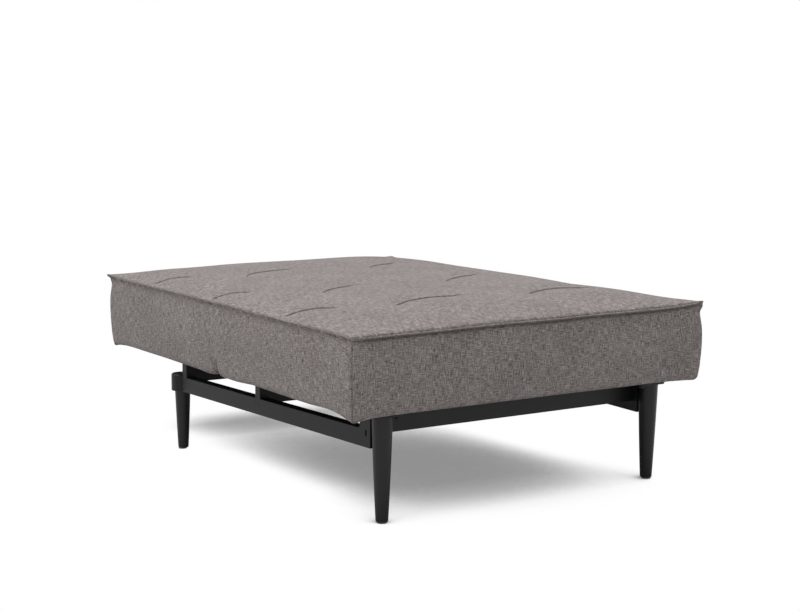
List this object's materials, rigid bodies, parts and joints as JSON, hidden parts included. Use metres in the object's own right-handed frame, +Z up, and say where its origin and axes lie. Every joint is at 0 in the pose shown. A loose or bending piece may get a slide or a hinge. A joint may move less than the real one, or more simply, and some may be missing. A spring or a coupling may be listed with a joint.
{
  "type": "chair bed",
  "caption": "Upholstered chair bed that lies flat as a single bed; its back turns up on latched hinges, over a low black steel frame on turned legs.",
  "frame": {"origin": "on the floor under the middle of the mattress, with the back laid flat", "axes": "+Y along the bed from the foot end of the seat to the head end of the back, +X across the bed, +Z up"},
  "size_m": [0.91, 1.23, 0.425],
  "materials": {
    "upholstery": "woven melange cloth",
    "lining": "thin black lining cloth",
    "webbing": "elastic webbing",
    "black_steel": "satin powder coat",
    "turned_wood": "satin black lacquer",
    "glide": "matt",
    "plated_steel": "zinc plated"
  },
  "bodies": {
    "base": {"foot_glides": "glide", "frame_bolts": "black_steel", "front_cross_member": "black_steel", "front_leg_plates": "black_steel", "front_legs": "turned_wood", "latch_pins": "plated_steel", "latches": "plated_steel", "leg_studs": "plated_steel", "mid_cross_member": "black_steel", "pivot_pins": "plated_steel", "pivot_washers": "plated_steel", "rear_cross_member": "black_steel", "rear_leg_sockets": "black_steel", "rear_legs": "turned_wood", "rest_pads": "glide", "seat_cross_tube_front": "black_steel", "seat_cross_tube_rear": "black_steel", "seat_cushion": "upholstery", "seat_dust_cover": "lining", "seat_hinge_strap_left": "black_steel", "seat_hinge_strap_right": "black_steel", "seat_side_tube_left": "black_steel", "seat_side_tube_right": "black_steel", "seat_webbing": "webbing", "side_rail_left": "black_steel", "side_rail_right": "black_steel"},
    "back": {"back_cross_tube_front": "black_steel", "back_cross_tube_rear": "black_steel", "back_cushion": "upholstery", "back_dust_cover": "lining", "back_hinge_strap_left": "black_steel", "back_hinge_strap_right": "black_steel", "back_side_tube_left": "black_steel", "back_side_tube_right": "black_steel", "back_webbing": "webbing"}
  },
  "joints": [
    {"name": "back_tilt", "type": "hinge", "parent": "base", "child": "back", "pos_m": [0, 0.09, 0.334], "axis": [1, 0, 0], "range_deg": [0, 70]}
  ]
}
